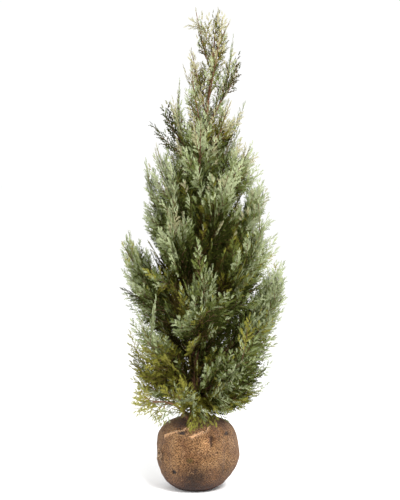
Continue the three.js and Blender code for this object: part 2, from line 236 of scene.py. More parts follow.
def hessian_material(name, thread, light, middle, dark, painted_light_and_marks=()):
    """Open jute cloth: coarse threads over and under each other, with dark gaps, slubs and stains.

    The threads lie aslant and wander a little. Cloth that is given marks gets darker and browner towards
    its foot too; its marks darken or lighten it in places, and some of them are painted highlights and
    painted shade."""
    wander = 0.016
    aslant = 0.707 / thread
    thread_height = 0.0018
    made, tree, shader = material(name, 0.92, sheen=0.1, specular=0.12)
    links = tree.links
    uv = node(tree, "TexCoord").outputs["UV"]
    place = node(tree, "TexCoord").outputs["Object"]
    wobble = node(tree, "TexNoise", Scale=11.0, Detail=3.0)
    links.new(uv, wobble.inputs["Vector"])
    moved = tree.nodes.new("ShaderNodeVectorMath")
    moved.operation = "MULTIPLY_ADD"
    links.new(wobble.outputs["Color"], moved.inputs[0])
    moved.inputs[1].default_value = (wander, wander, 0)
    links.new(uv, moved.inputs[2])
    parts = node(tree, "SeparateXYZ")
    links.new(moved.outputs[0], parts.inputs[0])
    sum_of = math_node(tree, "ADD", parts.outputs["X"], parts.outputs["Y"])
    difference = math_node(tree, "SUBTRACT", parts.outputs["X"], parts.outputs["Y"])
    across = math_node(tree, "MULTIPLY", sum_of, aslant)
    along = math_node(tree, "MULTIPLY", difference, aslant)
    warp, weft = (ridges(tree, way, math.pi) for way in (across, along))
    crossing = math_node(tree, "ADD", math_node(tree, "FLOOR", across), math_node(tree, "FLOOR", along))
    over = math_node(tree, "ABSOLUTE", math_node(tree, "MODULO", crossing, 2.0))
    woven = mix(tree, over, warp, weft)
    height = weighted(tree, math_node(tree, "MAXIMUM", warp, weft), 0.65, woven, 0.35)
    slubs = math_node(tree, "SUBTRACT", noise_at(tree, place, 310.0, 3.0, 0.7), 0.5)
    height = math_node(tree, "ADD", height, math_node(tree, "MULTIPLY", slubs, 1.5))
    cloth = ramp(tree, height, [(0.34, dark), (0.58, middle), (0.92, light)])
    stain = noise_at(tree, place, 18.0, 5.0, 0.62)
    cloth = tinted(tree, cloth, stain, [(0.32, colour(190, 172, 158)), (0.62, colour(255, 255, 250))])
    rows = math_node(tree, "MAXIMUM", *(ridges(tree, way, math.pi / 2) for way in (across, along)))
    speck = weighted(tree, noise_at(tree, place, 290.0, 2.0, 0.75), 0.86, rows, 0.16)
    specks = [(0.45, colour(74, 57, 44)), (0.54, colour(196, 186, 174)), (0.63, colour(255, 255, 255))]
    cloth = tinted(tree, cloth, speck, specks)
    # Darker and browner towards the foot of the ball.
    if painted_light_and_marks:
        place_parts = node(tree, "SeparateXYZ")
        links.new(place, place_parts.inputs[0])
        low = math_node(tree, "MULTIPLY", place_parts.outputs["Z"], 4.0)
        cloth = tinted(tree, cloth, low, [(0.02, colour(150, 108, 72)), (0.42, colour(255, 255, 255))])
    for at, size, strength, tint in painted_light_and_marks:
        blotches = noise_at(tree, place, 60.0, 3.0)
        uneven = math_node(tree, "MULTIPLY", patch(tree, place, at, size), blotches)
        factor = math_node(tree, "MULTIPLY", uneven, 2 * strength)
        cloth = mix(tree, factor, cloth, (*tint, 1), "MULTIPLY")
    links.new(cloth, shader.inputs["Base Color"])
    bump = node(tree, "Bump", Strength=1.0, Distance=thread_height)
    links.new(height, bump.inputs["Height"])
    links.new(bump.outputs["Normal"], shader.inputs["Normal"])
    return made


def piece_from(bm, name, finish, slot, *nodes):
    """Makes the mesh a piece of the plant that rides on its one body and stands for the CAD nodes."""
    mesh = bpy.data.meshes.new(name)
    bm.to_mesh(mesh)
    bm.free()
    return piece_of(mesh, name, finish, slot, *nodes)


def piece_of(mesh, name, finish, slot, *nodes):
    """The same for a mesh that is made already."""
    made = bpy.data.objects.new(name, mesh)
    bpy.context.scene.collection.objects.link(made)
    mesh.materials.append(finish)
    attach(made, "root")
    if nodes:
        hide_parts(*nodes)
    return made


def spin_profile(bm, profile, turns):
    """Turns a profile of radii and heights once round the upright axis, and closes its seam."""
    corners = [bm.verts.new((r, 0, z)) for r, z in profile]
    edges = [bm.edges.new(pair) for pair in zip(corners, corners[1:])]
    bmesh.ops.spin(bm, geom=corners + edges, cent=(0, 0, 0), axis=(0, 0, 1), angle=2 * math.pi,
                   steps=turns, use_merge=True, use_duplicate=False)
    bmesh.ops.remove_doubles(bm, verts=bm.verts, dist=1e-6)


thread = 0.0034
# Marks on the cloth, each darkening or lightening it in a place. Some are painted light and shade: a
# painted highlight on a facet, the right side painted lighter, the left side painted darker, and painted
# shadows under the left fold, in the crease right of the facet and in a dip at the right of the
# shoulder.
cloth_marks_and_painted_light = [  # where it lies, its half sizes, its strength, and what it multiplies the colour by
    ((-0.010, -0.132, 0.062), (0.062, 0.07, 0.064), 1.30, (0.28, 0.27, 0.26)),
    ((0.010, -0.120, 0.014), (0.130, 0.09, 0.030), 1.10, (0.38, 0.32, 0.26)),
    ((-0.026, -0.136, 0.119), (0.016, 0.03, 0.012), 1.10, (0.55, 0.80, 0.40)),
    # Painted highlight: a pale facet that catches the light.
    ((0.028, -0.125, 0.172), (0.022, 0.06, 0.036), 1.20, (1.75, 1.80, 1.95)),
    # Painted light: the right side of the ball made lighter.
    ((0.140, -0.03, 0.11), (0.036, 0.12, 0.10), 1.00, (1.45, 1.45, 1.45)),
    ((0.086, -0.10, 0.090), (0.030, 0.07, 0.036), 0.90, (0.50, 0.48, 0.46)),
    # Painted shade: the left side of the ball made darker.
    ((-0.130, -0.06, 0.12), (0.064, 0.11, 0.10), 0.90, (0.72, 0.68, 0.62)),
    ((-0.050, -0.06, 0.228), (0.045, 0.10, 0.024), 1.20, (0.42, 0.34, 0.29)),
    # Painted shadows: under the left fold, in the crease right of the facet, and in a dip at the right
    # of the shoulder.
    ((-0.054, -0.11, 0.207), (0.020, 0.06, 0.010), 1.80, (0.10, 0.09, 0.08)),
    ((0.045, -0.12, 0.184), (0.007, 0.06, 0.028), 1.80, (0.24, 0.21, 0.19)),
    ((0.096, -0.09, 0.199), (0.013, 0.06, 0.008), 1.80, (0.16, 0.14, 0.12)),
    ((0.060, -0.06, 0.228), (0.060, 0.10, 0.016), 0.90, (0.55, 0.44, 0.37)),
    ((-0.122, -0.07, 0.124), (0.014, 0.06, 0.016), 1.00, (0.35, 0.32, 0.28)),
    ((-0.077, -0.11, 0.076), (0.009, 0.06, 0.009), 1.80, (0.06, 0.05, 0.04)),
]
hessian = hessian_material("stained_hessian_with_painted_light", thread, colour(172, 133, 92), colour(112, 83, 54),
                           colour(40, 27, 16), cloth_marks_and_painted_light)
ball_rows = 84
ball_turns = 168
cloth_radius = 0.125  # metres of cloth to each radian round the ball
rim_radius = 0.09  # inside it the weave runs on over the top and the underside
foot_fade = 0.010  # over which the bumps fade out, above the underside and below the top
top_fade = 0.004
bm = bmesh.new()
side_profile = [between(ball_profile, i / ball_rows) for i in range(ball_rows + 1)]
spin_profile(bm, [(0, 0), *side_profile, (0, ball_top)], ball_turns)
bmesh.ops.recalc_face_normals(bm, faces=bm.faces)
uv_layer = bm.loops.layers.uv.new("cloth")
for face in bm.faces:
    face.smooth = True
    middle = face.calc_center_median()
    turn = math.atan2(middle.y, middle.x)
    for loop in face.loops:
        co = loop.vert.co
        angle = math.atan2(co.y, co.x) if co.xy.length > 1e-5 else turn
        angle += 2 * math.pi * round((turn - angle) / (2 * math.pi))
        down = abs(co.z - ball_top / 2) + max(rim_radius - co.xy.length, 0)
        loop[uv_layer].uv = (angle * cloth_radius, math.copysign(down, co.z - ball_top / 2))
for vert in bm.verts:
    r = vert.co.xy.length
    if r < 1e-5:
        vert.co.x += ball_shift(vert.co.z)
        continue
    angle = math.atan2(vert.co.y, vert.co.x)
    z = vert.co.z
    edge = smoothstep(z, 0.0, foot_fade) * smoothstep(ball_top - z, 0.0, top_fade)
    grown = r + ball_lump(angle, z) + ball_relief(angle, z, r) * edge
    vert.co = Vector((grown * math.cos(angle) + ball_shift(z), grown * math.sin(angle), z))
piece_from(bm, "root_ball_in_hessian", hessian, "hessian", "root_ball")

# Two folded edges of the cloth lie across the shoulder of the ball, and their pale lips are frayed into
# threads. Each is a strip of the same hessian, laid where the CAD has its ridge. More threads stand off
# the cloth all over the ball.
folds = {
    "hessian_fold_left": ((front - 1.0, 0.196), (front - 0.22, 0.229), 0.007),
    "hessian_fold_right": ((front - 0.16, 0.200), (front + 0.44, 0.228), 0.007),
}
fold_steps = 60
fold_threads = 150
stray_threads = 260
cream_thread = 0.0030
lip_radius = 0.0020
cream_hessian = hessian_material("frayed_hessian", cream_thread, colour(206, 180, 148),
                                 colour(166, 134, 104), colour(96, 68, 46))
fibre = plain_material("jute_fibre", colour(196, 154, 112), 0.8, sheen=0.2)


def ring_frame(along):
    """Two directions square to a strand and to each other."""
    across = along.cross(Vector((0.03, 0.05, 1))).normalized()
    return across, across.cross(along).normalized()


def tube(bm, points, radii, sides):
    """A closed round strand along the points: a ring at each one, joined to the next, and capped."""
    rings = []
    for i, (point, radius) in enumerate(zip(points, radii)):
        along = (points[min(i + 1, len(points) - 1)] - points[max(i - 1, 0)]).normalized()
        across, third = ring_frame(along)
        turns = [2 * math.pi * k / sides for k in range(sides)]
        rings.append([
            bm.verts.new(point + across * (radius * math.cos(a)) + third * (radius * math.sin(a)))
            for a in turns
        ])
    for low, high in zip(rings, rings[1:]):
        for k in range(sides):
            face = bm.faces.new((low[k], low[(k + 1) % sides], high[(k + 1) % sides], high[k]))
            face.smooth = True
    bm.faces.new(rings[0][::-1])
    bm.faces.new(rings[-1])
    return rings


def cloth_uv(bm):
    """Lays the weave on a loose end of the wrap, and turns its faces outwards."""
    bmesh.ops.recalc_face_normals(bm, faces=bm.faces)
    layer = bm.loops.layers.uv.new("cloth")
    for face in bm.faces:
        for loop in face.loops:
            loop[layer].uv = (loop.vert.co.x + loop.vert.co.y * 0.5, loop.vert.co.z)


def crumple(bm, scale, depth):
    """Moves each corner of a loose end of the cloth a little, so that it isn't even."""
    for vert in bm.verts:
        vert.co += noise.noise_vector(vert.co * scale) * depth


random = np.random.default_rng(7)
noise.seed_set(7)
fringe = bmesh.new()
for name, (start, end, radius) in folds.items():
    lip = []
    spine = []
    for i in range(fold_steps + 1):
        t = i / fold_steps
        angle, z = lerp(start[0], end[0], t), lerp(start[1], end[1], t)
        z += 0.0042 * math.sin(7 * t) + 0.0020 * math.sin(19 * t)
        spine.append(on_ball(angle, z + 0.002, -0.0030))
        lip.append(on_ball(angle, z - 0.0025, 0.0022 + 0.0012 * math.sin(13 * t)))
    swell = [0.25 + 0.75 * math.sin(math.pi * i / fold_steps) ** 0.8 for i in range(fold_steps + 1)]
    bm = bmesh.new()
    tube(bm, spine, [radius * 0.95 * size for size in swell], 14)
    crumple(bm, 130, 0.0012)
    cloth_uv(bm)
    piece_from(bm, name + "_cloth", hessian, "hessian", name)
    bm = bmesh.new()
    lip_radii = [lip_radius * size * (1 + 0.35 * math.sin(1.7 * i)) for i, size in enumerate(swell)]
    tube(bm, lip, lip_radii, 8)
    crumple(bm, 300, 0.0007)
    cloth_uv(bm)
    piece_from(bm, name + "_edge", cream_hessian, "hessian", name)
    for i in range(fold_threads):
        t = random.random() ** 1.5
        angle, z = lerp(start[0], end[0], t), lerp(start[1], end[1], t)
        root = on_ball(angle, z - 0.002, 0.0022)
        drop = 0.003 + 0.013 * random.random() ** 2
        lean = (random.random() - 0.6) * 0.16
        tip = on_ball(angle + lean, z - drop, 0.0006 + 0.0016 * random.random())
        middle = (root + tip) / 2 + Vector((0, -0.0014, 0.0008))
        tube(fringe, [root, middle, tip], [0.0006, 0.0005, 0.0002], 3)
for i in range(stray_threads):
    angle = random.random() * 2 * math.pi
    z = 0.03 + 0.195 * random.random() ** 0.7
    long = 0.004 + 0.011 * random.random()
    heading = random.random() * math.pi
    points = []
    for k in range(4):
        s = k / 3 - 0.5
        bend = 0.0014 * math.sin(2.2 * s + heading)
        turned_to = angle + s * long * math.cos(heading) / 0.13
        raised_to = z + s * long * math.sin(heading) + bend
        points.append(on_ball(turned_to, raised_to, 0.0002 + 0.0018 * abs(s)))
    tube(fringe, points, [0.0002, 0.0003, 0.0003, 0.0001], 3)
bmesh.ops.recalc_face_normals(fringe, faces=fringe.faces)
piece_from(fringe, "frayed_threads", fibre, "hessian")

# The corner of the cloth is tied at the left of the ball, in two loops with four short frayed tails.
# They are bent tubes of the paler hessian, in the place of the CAD's knot.
knot = bmesh.new()
knot_loops = [(0.016, 0.0085, 0.5, 0.004), (0.011, 0.0065, -0.7, -0.008)]  # high, wide, turn, lift
knot_points = 22
knot_tails = 4
knot_angle = front - 1.02
knot_at = on_ball(knot_angle, 0.128, 0.0045)
knot_out = Vector((math.cos(knot_angle), math.sin(knot_angle), 0))
knot_side = Vector((-math.sin(knot_angle), math.cos(knot_angle), 0))
for loop_high, loop_wide, turn, lift in knot_loops:
    points = []
    for k in range(knot_points):
        a = 2 * math.pi * k / knot_points + 0.4
        right, rise = loop_wide * math.cos(a), loop_high * math.sin(a)
        points.append(knot_at + knot_side * (right * math.cos(turn) - rise * math.sin(turn))
                      + up * (right * math.sin(turn) + rise * math.cos(turn) + lift)
                      + knot_out * (0.0022 * math.sin(2 * a)))
    radii = [0.0021 + 0.0007 * math.sin(3.1 * k) for k in range(knot_points + 1)]
    tube(knot, points + points[:1], radii, 8)
for k in range(knot_tails):
    tail = [knot_at + knot_side * 0.001 * k,
            knot_at + knot_side * (0.006 * k - 0.009) + knot_out * 0.004 - up * 0.012,
            knot_at + knot_side * (0.009 * k - 0.013) + knot_out * 0.001 - up * 0.021]
    tube(knot, tail, [0.0024, 0.0018, 0.0006], 6)
crumple(knot, 300, 0.0009)
cloth_uv(knot)
piece_from(knot, "tied_corner", cream_hessian, "hessian", "hessian_knot")

# The edges of the cloth are drawn together round the foot of the trunk and stand up in a ruffled ring.
# It is spun from its profile and waved, then given the thickness of the cloth.
trunk_foot_x = -0.009
mouth_height = 0.0115
mouth_profile = [
    (0.047, -0.0005), (0.044, 0.006), (0.038, 0.011),
    (0.033, mouth_height), (0.030, 0.008), (0.028, 0.001),
]
mouth_turns = 108
cloth_thickness = 0.0012
mouth = bmesh.new()
spin_profile(mouth, [(r, ball_top + z) for r, z in mouth_profile], mouth_turns)
layer = mouth.loops.layers.uv.new("cloth")
for vert in mouth.verts:
    angle = math.atan2(vert.co.y, vert.co.x)
    rise = (vert.co.z - ball_top) / mouth_height
    scale = 1 + 0.055 * math.sin(9 * angle) + 0.05 * rise * math.sin(23 * angle + 1)
    scale += 0.02 * math.sin(41 * angle)
    lift = 1 + 0.25 * math.sin(2 * angle + 1)
    raised = ball_top + (vert.co.z - ball_top) * lift
    vert.co = Vector((vert.co.x * scale + trunk_foot_x, vert.co.y * scale, raised))
for face in mouth.faces:
    face.smooth = True
    for loop in face.loops:
        loop[layer].uv = (loop.vert.co.x, loop.vert.co.y + loop.vert.co.z)
bmesh.ops.recalc_face_normals(mouth, faces=mouth.faces)
mouth_piece = piece_from(mouth, "gathered_mouth", hessian, "hessian", "hessian_collar")
mouth_cloth = mouth_piece.modifiers.new("cloth", "SOLIDIFY")
mouth_cloth.thickness = cloth_thickness
mouth_cloth.offset = 0

# The trunk is one tapering stem that leans to the right, with a flare where it meets the ball. Its young
# bark is thin, red-brown and stringy. It is a ring carried up the stem, with the bark's strips raised on
# it. The rule of its growth, in metres, is the one that the solids follow.
plant_top = 1.590
trunk_radius = 0.014
trunk_tip_radius = 0.0024
trunk_taper = 0.85
flare = 0.009
flare_height = 0.026
trunk_lean = 0.076
lean_power = 2.2
trunk_sway = 0.011
trunk_end = 1.482


def axis_at(z):
    """The middle of the trunk at a height, and of the leader above it."""
    u = min(max((z - ball_top) / (plant_top - ball_top), 0), 1)
    x = trunk_foot_x + trunk_lean * u ** lean_power
    return Vector((x, trunk_sway * u * math.sin(2 * math.pi * u), z))


def radius_at(z):
    """The thickness of the trunk at a height, with its flare."""
    u = min(max((z - ball_top) / (trunk_end - ball_top), 0), 1)
    spread = flare * math.exp(-(z - ball_top) / flare_height)
    return lerp(trunk_radius, trunk_tip_radius, u ** trunk_taper) + spread


bark, bark_tree, bark_shader = material("stringy_bark", 0.85, specular=0.2)
bark_place = node(bark_tree, "TexCoord").outputs["Object"]
bark_stretch = node(bark_tree, "Mapping")
bark_stretch.inputs["Scale"].default_value = (1.0, 1.0, 0.16)
bark_tree.links.new(bark_place, bark_stretch.inputs["Vector"])
strips = noise_at(bark_tree, bark_stretch.outputs["Vector"], 260.0, 5.0, 0.6)
bark_colour = ramp(bark_tree, strips, [(0.30, colour(40, 28, 18)), (0.48, colour(84, 58, 38)),
                                       (0.66, colour(116, 88, 64)), (0.80, colour(144, 120, 96))])
bark_tree.links.new(bark_colour, bark_shader.inputs["Base Color"])
bark_bump = node(bark_tree, "Bump", Strength=0.6, Distance=0.0010)
bark_tree.links.new(strips, bark_bump.inputs["Height"])
bark_tree.links.new(bark_bump.outputs["Normal"], bark_shader.inputs["Normal"])


strips_across = 230
strips_along = 30
bark_knots = 36


def bark_limb(bm, path, radius, sides, rings, relief):
    """A limb along a path from t = 0 to 1, with long strips of bark standing a little out of it."""
    points = [path(i / rings) for i in range(rings + 1)]
    radii = [radius(i / rings) for i in range(rings + 1)]
    made = tube(bm, points, radii, sides)
    for point, thick, ring in zip(points, radii, made):
        for vert in ring:
            out = vert.co - point
            at = Vector((out.x * strips_across, out.y * strips_across, vert.co.z * strips_along))
            strip = noise.noise(at)
            knots = noise.noise(vert.co * bark_knots)
            vert.co = point + out * (1 + relief * (strip + 0.5 * knots))


trunk_bottom = ball_top + 0.00035
closer_below = 1.25


def trunk_height(t):
    """The height of each ring of the trunk, closer together at its foot."""
    return lerp(trunk_bottom, trunk_end, t ** closer_below)


bm = bmesh.new()
bark_limb(bm, lambda t: axis_at(trunk_height(t)), lambda t: radius_at(trunk_height(t)),
          sides=28, rings=190, relief=0.13)
bmesh.ops.recalc_face_normals(bm, faces=bm.faces)
piece_from(bm, "trunk_bark", bark, "bark", "trunk")

# The boughs leave the trunk one every golden angle and turn up as they go. Each goes on as the stem of
# its mass, right out to the edge of the crown. They are tapering limbs with the trunk's bark, joined.
masses = 33
boughs = 20
golden_angle = math.radians(137.508)
first_angle = math.radians(255)
lowest = 0.266
highest = 1.432
crowding = 1.3
low_slope = 0.25
slope_gain = 2
low_curve = 0.6
curve_gain = 6
bough_radius = 0.0046
bough_tip_radius = 0.0009
leader_tip_radius = 0.0008
bough_end = 0.36
crown_edge = [  # height, then how far the crown reaches to the right and to the left
    (0.236, 0.118, 0.122), (0.300, 0.208, 0.196), (0.400, 0.256, 0.222), (0.500, 0.264, 0.214),
    (0.620, 0.296, 0.250), (0.720, 0.292, 0.262), (0.840, 0.268, 0.254), (0.960, 0.232, 0.182),
    (1.090, 0.190, 0.190), (1.200, 0.132, 0.176), (1.300, 0.096, 0.120), (1.400, 0.095, 0.098),
    (1.500, 0.064, 0.084), (1.590, 0.024, 0.088),
]
first_seed = 1000
seed_step = 77


def reach(z, angle):
    """How far the crown reaches from the trunk's axis at a height, on one side of it."""
    heights, rights, lefts = zip(*crown_edge)
    right, left = np.interp(z, heights, rights), np.interp(z, heights, lefts)
    return lerp(left, right, (1 + math.cos(angle)) / 2)


def branch_point(branch, out):
    """The place on a branch that is so far out from the trunk's axis."""
    u = (branch["height"] - lowest) / (highest - lowest)
    z = branch["height"] + out * (low_slope + u * slope_gain) + out * out * (low_curve + u * curve_gain)
    return axis_at(z) + Vector((out * math.cos(branch["angle"]), out * math.sin(branch["angle"]), 0))


def branch_tip(branch):
    """How far out a branch ends, at the crown's edge or near the top of the plant."""
    step = 0.002
    out = step
    z = branch_point(branch, out).z
    while out < reach(z, branch["angle"]) and z < plant_top - 2 * step:
        out += step
        z = branch_point(branch, out).z
    return out


def seeded(seed):
    """The same numbers between 0 and 1 each time, from a seed."""
    state = seed
    while True:
        state = (state * 1664525 + 1013904223) % 4294967296
        yield state / 4294967296


branches = []
for i in range(masses):
    branch = {
        "height": lerp(lowest, highest, (i / (masses - 1)) ** crowding),
        "angle": first_angle + i * golden_angle,
        "random": seeded(first_seed + seed_step * i),
        "turn": lerp(3.0, 1.6, i / (masses - 1)),
        "low": 1 - i / (masses - 1),
    }
    branch["tip"] = branch_tip(branch)
    branch["inner"] = branch["tip"] * bough_end if i < boughs else 0.0
    branch["point"] = lambda out, branch=branch: branch_point(branch, out)
    branches.append(branch)
leader = {
    "height": trunk_end,
    "angle": 0.0,
    "random": seeded(first_seed + seed_step * masses),
    "turn": 1.6,
    "low": 0.0,
    "tip": plant_top - trunk_end,
    "inner": 0.0,
    "point": lambda out: axis_at(trunk_end + out),
}
branches.append(leader)

bm = bmesh.new()
for branch in branches[:-1]:
    thick = min(bough_radius, 0.75 * radius_at(branch["height"]))
    start = 0.4 * radius_at(branch["height"])
    path = lambda t: branch["point"](lerp(start, branch["tip"] * 0.97, t))
    radius = lambda t: lerp(thick, bough_tip_radius, t ** 0.8)
    bark_limb(bm, path, radius, sides=8, rings=30, relief=0.10)
bark_limb(bm, lambda t: axis_at(lerp(trunk_end, plant_top - 0.004, t)),
          lambda t: lerp(trunk_tip_radius, leader_tip_radius, t), sides=8, rings=16, relief=0.08)
bmesh.ops.recalc_face_normals(bm, faces=bm.faces)
piece_from(bm, "boughs_and_stems", bark, "bark", *[f"bough_{i + 1:02d}" for i in range(boughs)])

# The twigs leave each stem all round it, lean forwards and up, and fork again. The first ones are those
# of the solids, and the same rule goes on to finer ones within the crown's reach. Each shoot is a slim
# plume, feathered from near its foot to its tip with small flat sprays that point forwards.
shoots = []
sprays = []
twig_points = 5
twig_step = 0.24  # of a shoot's length, from one point of its wood to the next
finest_twig = 0.0012  # its radius at its foot
spray_length = 0.044
shortest_spray = 0.017
spray_spacing = 0.0070
airy_spacing = 0.0145  # where the crown is open
ahead_every = 5  # one spray in so many points straight ahead
fork_spacing = 0.030
longest_fork = 0.060
shortest_shoot = 0.018
shoot_lengths = (0.115, 0.225)  # on the highest mass and on the lowest
shoot_spacing = (0.036, 0.0092)  # the same
almost_up = Vector((0.02, 0.03, 1)).normalized()
crown_back = 0.236  # the furthest that any tip goes to the back
below_tip = 0.01  # the least that a shoot ends below the plant's top
hem_line = [  # across the crown from left to right, and the height of its lowest tips
    (-0.26, 0.42), (-0.22, 0.365), (-0.16, 0.350), (-0.07, 0.342), (-0.04, 0.250), (0.04, 0.245),
    (0.12, 0.262), (0.16, 0.292), (0.19, 0.315), (0.22, 0.36), (0.26, 0.43),
]
hues = {  # the base colour, the record's slot, and whether it is for the shaded inside
    "glaucous": (colour(146, 154, 116), "blue_green_foliage", False),
    "blue_green": (colour(112, 122, 79), "blue_green_foliage", False),
    "mid_green": (colour(86, 95, 42), "blue_green_foliage", False),
    "yellow_green": (colour(122, 120, 48), "yellow_green_foliage", False),
    "pale_tips": (colour(142, 138, 104), "yellow_green_foliage", False),
    "olive": (colour(87, 85, 20), "yellow_green_foliage", False),
    "dark_green": (colour(47, 52, 16), "blue_green_foliage", True),
    "inner_brown": (colour(50, 43, 13), "yellow_green_foliage", True),
}
shaded_hues = [  # up to how light, the warm hue, the cool one, and how warm parts them
    (0.16, "inner_brown", "dark_green", 0.35),
    (0.36, "olive", "dark_green", 0.50),
    (0.56, "olive", "mid_green", 0.55),
]


def crown_share(point):
    """How far out a point stands, from 0 on the trunk's axis to 1 at the crown's edge."""
    axis = axis_at(point.z)
    edge = reach(point.z, math.atan2(point.y - axis.y, point.x - axis.x))
    return math.hypot(point.x - axis.x, point.y - axis.y) / max(edge, 0.01)


def hue_at(point, tone, tip, draws):
    """Darker inside the crown, partly the brown of inner foliage and partly painted shade, with more
    painted shade over its middle; warm at its top, foot and tips, and each shoot its own tone.
    """
    top = smoothstep(point.z, 0.72, 1.30)
    foot = smoothstep(0.62 - point.z, 0, 0.34)
    share = crown_share(point)
    inward = 1 - min(share, 1)
    middle = 1 - smoothstep(abs(point.x), 0.06, 0.14)
    rim = smoothstep(share, 0.88, 1.06)
    light = 0.70 * smoothstep(share, 0.26, 0.94) + 0.48 * (tone[0] - 0.5) - 0.04
    light += 0.40 * top * inward + 0.22 * top - foot * 0.42 * smoothstep(point.x, 0, 0.16)
    light += 0.22 * foot * middle - 0.14 * rim
    light += 0.12 * noise.noise(point * 8) + 0.52 * (next(draws) - 0.5) + 0.24 * tip
    # Painted shade over the middle of the crown, about 0.7 m up.
    painted_shade_hollow = 1 - math.hypot((point.x - 0.02) / 0.11, (point.z - 0.70) / 0.20)
    light -= 0.17 * smoothstep(painted_shade_hollow, 0, 0.5)
    left = smoothstep(-point.x, -0.04, 0.14)
    right = smoothstep(point.x, 0.03, 0.14)
    high = smoothstep(point.z, 0.95, 1.42)
    warm = 0.22 + 0.30 * high + 0.12 * high * inward + foot * (0.22 + 0.26 * left - 0.20 * right)
    warm += 0.24 * noise.noise(point * 6 + Vector((3, 7, 1)))
    warm += 0.60 * (tone[1] - 0.5) + 0.20 * (next(draws) - 0.5) + 0.12 * tip
    for most_light, warm_hue, cool_hue, parting in shaded_hues:
        if light < most_light:
            return warm_hue if warm > parting else cool_hue
    if light < 0.78 and warm < 0.50:
        return "blue_green"
    if warm < 0.56:
        return "glaucous"
    return "pale_tips" if point.z > 0.85 else "yellow_green"


def hem(point):
    """The lowest that the crown hangs, as the photograph shows it from left to right."""
    return np.interp(point.x, *zip(*hem_line))


def bowed(start, tip, bow):
    """The path of a shoot from start to tip, which sags below the straight line and so turns up."""
    line = tip - start
    sag = (up * line.length - line * (line.dot(up) / line.length)) * -bow
    return lambda s: start + line * s + sag * (4 * s * (1 - s))


def heading_of(path, s):
    """The direction in which a shoot runs at s."""
    return (path(s + 0.03) - path(s - 0.03)).normalized()


def turned(across, along, angle):
    """A direction across a shoot, made square to it and turned round it."""
    square = (across - along * across.dot(along)).normalized()
    return square * math.cos(angle) + along.cross(square) * math.sin(angle)


def feather(path, across, thick, draws, tone, bare=0.10, full=1.0, sparse=None):
    """Flat sprays on alternate sides of a shoot, shorter towards its tip, and one at its end."""
    length = sum((path(k / 4 + 0.25) - path(k / 4)).length for k in range(4))
    shoots.append(([path(k * twig_step) for k in range(twig_points)], thick))
    if sparse is None:
        open_tip = 0.3 * smoothstep(crown_share(path(1)), 0.80, 1.0)
        sparse = max(smoothstep(path(0.5).z, 1.00, 1.35), open_tip)
    count = max(3, round(length * (1 - bare) / lerp(spray_spacing, airy_spacing, sparse)))
    for k in range(count + 1):
        s = bare + (1 - bare) * k / count
        along = heading_of(path, s)
        side = turned(across, along, 0.5 * (next(draws) - 0.5))
        if k == count or k % ahead_every == 3:
            spread = 0.2 * (next(draws) - 0.5)
        else:
            spread = (1 if k % 2 else -1) * lerp(0.38, 0.70, next(draws))
        direction = along * math.cos(spread) + side * math.sin(spread)
        flat = turned(side, direction, 0.6 * (next(draws) - 0.5))
        rise = min(0.55 + (s - bare) * length / 0.06, 1)
        size = min(spray_length * full, shortest_spray + 0.30 * (1 - s) * length) * rise
        size *= lerp(0.82, 1.18, next(draws))
        place = path(s)
        hue = hue_at(place, tone, smoothstep(s, 0.45, 1.0), draws)
        sprays.append((place, direction, flat, size, hue))


def within(start, heading, length, share):
    """Where a shoot can end: nearer, where it would pass its share of the crown's reach."""
    while length > shortest_shoot:
        tip = start + heading * length
        held = crown_share(tip) <= share and tip.y < crown_back
        if held and hem(tip) < tip.z < plant_top - below_tip:
            return tip
        length *= 0.9
    return None


def new_tone(draws):
    """The shade of one shoot, as how light and how warm it is, each from 0 to 1."""
    return next(draws), next(draws)


def fork(path, s, across, spread, length, share, thick, draws, tone, full=1.0, sparse=None):
    """Grows one shoot off another, at s along it, and gives its path and the way across it."""
    at = path(s)
    along = heading_of(path, s)
    side = turned(across, along, 0.0)
    lift = lerp(0.04, 0.34, smoothstep(at.z, 0.36, 0.70))
    heading = (along * math.cos(spread) + side * math.sin(spread) + up * lift).normalized()
    tip = within(at, heading, length, share)
    if tip is None:
        return None, side
    grown = bowed(at, tip, 0.07)
    side = turned(side, heading, 0.7 * (next(draws) - 0.5))
    feather(grown, side, thick, draws, tone, full=full, sparse=sparse)
    return grown, side


def grow_plume(grown, side, length, reach_share, draws, tone, full=1.0, sparse=None):
    """Short side shoots, on alternate sides of a long one and in its plane."""
    count = round(length / fork_spacing)
    for k in range(count):
        share = lerp(0.10, 0.74, (k + 0.5 * next(draws)) / count)
        spread = lerp(0.45, 0.75, next(draws))
        fork_length = min(longest_fork, 0.34 * length * (1.1 - share))
        fork(grown, share, side * (1 if k % 2 else -1), spread, fork_length, reach_share, finest_twig,
             draws, tone, full, sparse)


